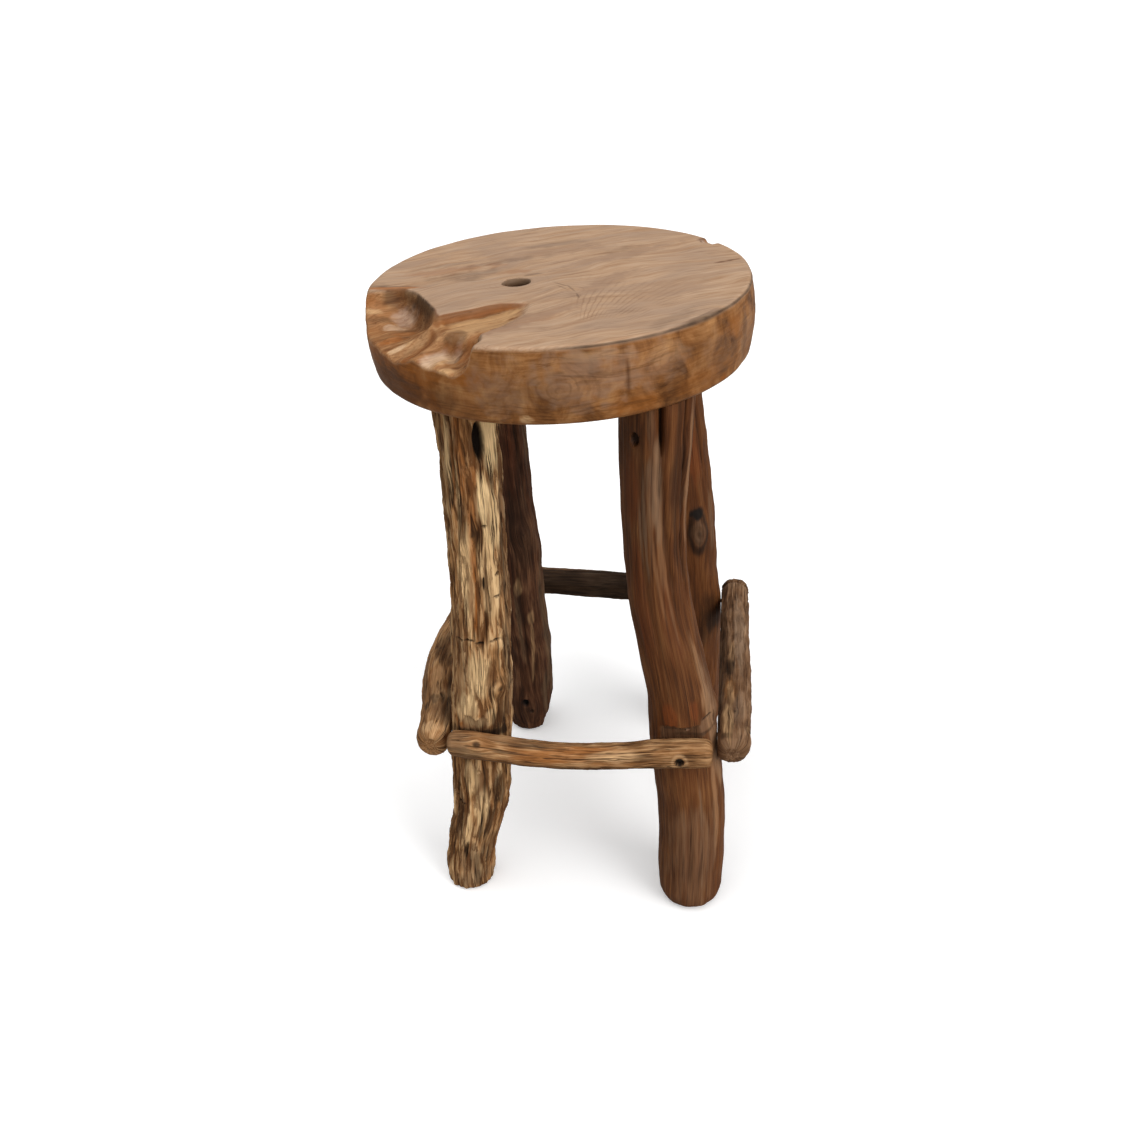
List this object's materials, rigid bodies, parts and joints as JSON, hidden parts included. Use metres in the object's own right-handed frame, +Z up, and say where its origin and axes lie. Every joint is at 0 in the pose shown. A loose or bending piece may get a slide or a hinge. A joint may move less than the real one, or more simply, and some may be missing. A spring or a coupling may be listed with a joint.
{
  "type": "stool",
  "caption": "Rustic root-wood stool: thick round slab seat with a weathered hollow and a knot hole, on splayed branch legs tied by lapped branch rails.",
  "frame": {"origin": "on the floor, under the middle of the stool's overall box", "axes": "+Z up along the stool's height, -Y towards the front rail, +X to the right seen from the front"},
  "size_m": [0.372, 0.3716, 0.65],
  "materials": {
    "slab_wood": "satin",
    "pale_bark": "rough",
    "red_heartwood": "satin",
    "dark_heartwood": "matt",
    "golden_branch": "matt",
    "grey_branch": "matt",
    "dowel_wood": "plain",
    "dark_steel": "dark"
  },
  "bodies": {
    "root": {"seat": "slab_wood", "leg_front_left": "pale_bark", "leg_front_right": "red_heartwood", "leg_rear_left": "dark_heartwood", "leg_rear_right": "red_heartwood", "rail_front": "golden_branch", "rail_left": "golden_branch", "rail_rear": "grey_branch", "rail_right": "grey_branch", "dowel_front_left": "dowel_wood", "dowel_front_right": "dowel_wood", "dowel_rear_left": "dowel_wood", "dowel_rear_right": "dowel_wood", "screw_front_at_front_right": "dark_steel", "screw_front_at_front_left": "dark_steel", "screw_left_at_front_left": "dark_steel", "screw_left_at_rear_left": "dark_steel", "screw_rear_at_rear_left": "dark_steel", "screw_rear_at_rear_right": "dark_steel", "screw_right_at_rear_right": "dark_steel", "screw_right_at_front_right": "dark_steel"}
  },
  "joints": []
}
